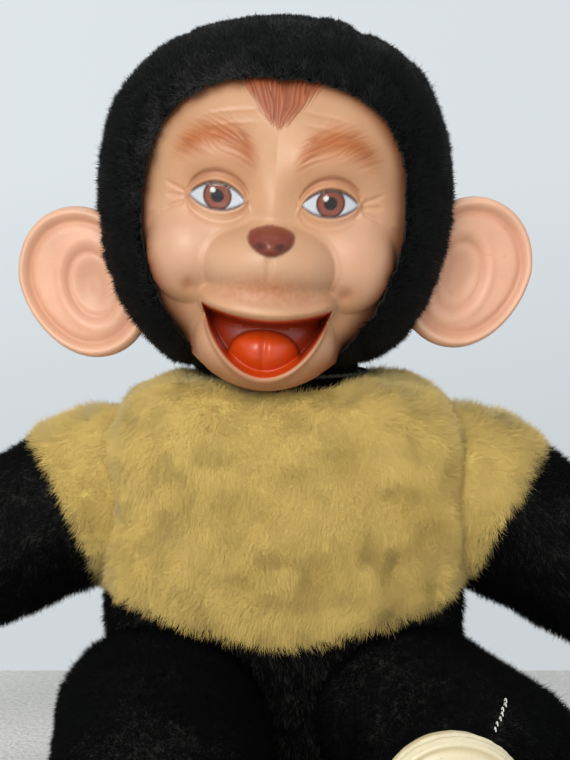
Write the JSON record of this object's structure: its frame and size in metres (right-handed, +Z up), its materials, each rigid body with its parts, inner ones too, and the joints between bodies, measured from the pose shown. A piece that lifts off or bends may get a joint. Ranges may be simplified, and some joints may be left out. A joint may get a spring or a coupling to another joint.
{
  "type": "seated plush toy monkey",
  "caption": "Seated stuffed toy monkey with plush skins, a moulded vinyl face, ears, hands and shoes, and a turning head and swinging limbs.",
  "frame": {"origin": "middle of the flat that the toy sits on, under the body", "axes": "+Z up, the toy faces -Y, +X is the toy's own left"},
  "size_m": [0.445, 0.2596, 0.3172],
  "materials": {
    "black_plush": "matte",
    "yellow_plush": "matte",
    "face_vinyl": "satin",
    "pale_vinyl": "satin",
    "stuffing": "matte",
    "thread": "matte"
  },
  "bodies": {
    "torso": {"shirt_front": "yellow_plush", "shirt_back": "yellow_plush", "trousers": "black_plush", "body_stuffing": "stuffing"},
    "neck": {"neck_stuffing": "stuffing"},
    "head": {"hood_crown": "black_plush", "hood_right": "black_plush", "hood_left": "black_plush", "face_mask": "face_vinyl", "ear_right": "face_vinyl", "ear_left": "face_vinyl", "head_stuffing": "stuffing", "neck_thread": "thread"},
    "arm_right": {"sleeve_right": "yellow_plush", "arm_cover_right": "black_plush", "arm_stuffing_right": "stuffing", "hand_right": "face_vinyl", "wrist_tie_right": "thread"},
    "arm_left": {"sleeve_left": "yellow_plush", "arm_cover_left": "black_plush", "arm_stuffing_left": "stuffing", "hand_left": "face_vinyl", "wrist_tie_left": "thread"},
    "leg_right": {"leg_cover_right": "black_plush", "leg_stuffing_right": "stuffing", "shoe_right": "pale_vinyl", "ankle_tie_right": "thread"},
    "leg_left": {"leg_cover_left": "black_plush", "leg_stuffing_left": "stuffing", "shoe_left": "pale_vinyl", "ankle_tie_left": "thread", "mend_thread": "thread"}
  },
  "joints": [
    {"name": "neck_turn", "type": "hinge", "parent": "torso", "child": "neck", "pos_m": [0, 0, 0.176], "axis": [0, 0, 1], "range_deg": [-25, 25]},
    {"name": "head_nod", "type": "hinge", "parent": "neck", "child": "head", "pos_m": [0, 0, 0.178], "axis": [1, 0, 0], "range_deg": [-5, 5]},
    {"name": "shoulder_right", "type": "hinge", "parent": "torso", "child": "arm_right", "pos_m": [-0.076, 0.006, 0.12], "axis": [0, 1, 0], "range_deg": [-10, 35]},
    {"name": "shoulder_left", "type": "hinge", "parent": "torso", "child": "arm_left", "pos_m": [0.076, 0.006, 0.12], "axis": [0, -1, 0], "range_deg": [-6, 40]},
    {"name": "hip_right", "type": "hinge", "parent": "torso", "child": "leg_right", "pos_m": [-0.05, -0.032, 0.037], "axis": [1, 0, 0], "range_deg": [-12, 60]},
    {"name": "hip_left", "type": "hinge", "parent": "torso", "child": "leg_left", "pos_m": [0.05, -0.032, 0.037], "axis": [1, 0, 0], "range_deg": [-12, 60]}
  ]
}
